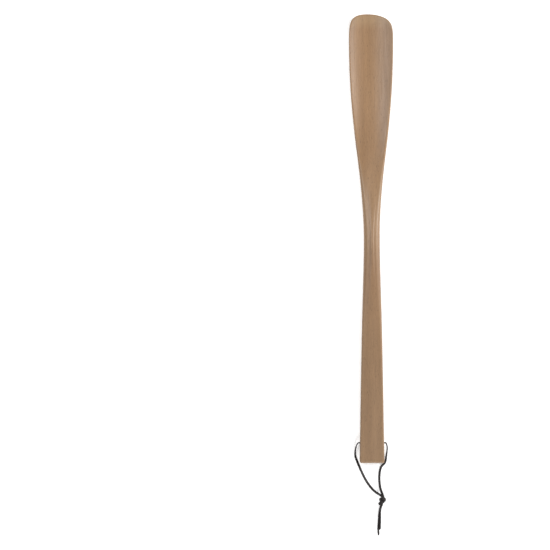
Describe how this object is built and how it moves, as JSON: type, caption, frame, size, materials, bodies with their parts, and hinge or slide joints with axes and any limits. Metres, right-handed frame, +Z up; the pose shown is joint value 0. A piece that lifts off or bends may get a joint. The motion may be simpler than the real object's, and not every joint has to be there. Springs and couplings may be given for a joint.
{
  "type": "long shoehorn",
  "caption": "Long wooden shoehorn: flat tapering handle, waisted neck and dished blade, with a thin leather loop knotted through a bore near the handle's end.",
  "frame": {"origin": "on the surface that the shoehorn lies on, under the middle of the wooden body's box", "axes": "+Y from the handle's end to the blade's tip, +X across the blade, +Z up out of the scoop"},
  "size_m": [0.0492, 0.5806, 0.0211],
  "materials": {
    "wood": "oiled, satin",
    "leather": "smooth, waxed"
  },
  "bodies": {
    "wood": {"wooden_body": "wood"},
    "lace_loop": {"lace_in_bore": "leather", "lace_left_strand": "leather", "lace_right_strand": "leather", "lace_knot": "leather"},
    "lace_tails": {"lace_long_tail": "leather", "lace_short_tail": "leather"}
  },
  "joints": [
    {"name": "loop_swing", "type": "hinge", "parent": "wood", "child": "lace_loop", "pos_m": [0, -0.2275, 0.00568], "axis": [-1, 0, 0], "range_deg": [-150, 150]},
    {"name": "tails_swing", "type": "hinge", "parent": "lace_loop", "child": "lace_tails", "pos_m": [0.0115, -0.2918, 0.0036], "axis": [-1, 0, 0], "range_deg": [-60, 60]}
  ]
}
